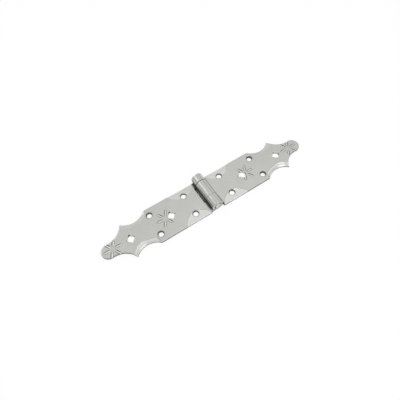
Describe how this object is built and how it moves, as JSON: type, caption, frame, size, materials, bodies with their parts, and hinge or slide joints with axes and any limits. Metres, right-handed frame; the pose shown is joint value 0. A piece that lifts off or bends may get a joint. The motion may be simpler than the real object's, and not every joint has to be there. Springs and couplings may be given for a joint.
{
  "type": "decorative strap hinge",
  "caption": "Long strap hinge with scalloped, pierced and stamped leaves rolled round one pin, for doors, gates and chests.",
  "frame": {"origin": "under the barrel's axis at the middle of the leaves' width, on the plane of the leaf backs, hinge opened flat", "axes": "+X along the right leaf to its tip, +Y along the pin towards its head, +Z out of the show face"},
  "size_m": [0.21, 0.0365, 0.0108],
  "materials": {
    "plated_sheet": "bright zinc plating, semi-gloss, on stamped sheet steel",
    "plated_pin": "bright zinc plating, semi-gloss, on turned steel"
  },
  "bodies": {
    "left": {"left_leaf": "plated_sheet", "hinge_pin": "plated_pin"},
    "right": {"right_leaf": "plated_sheet"}
  },
  "joints": [
    {"name": "leaf_swing", "type": "hinge", "parent": "left", "child": "right", "pos_m": [0, 0, 0.0054], "axis": [0, -1, 0], "range_deg": [-90, 180]}
  ]
}
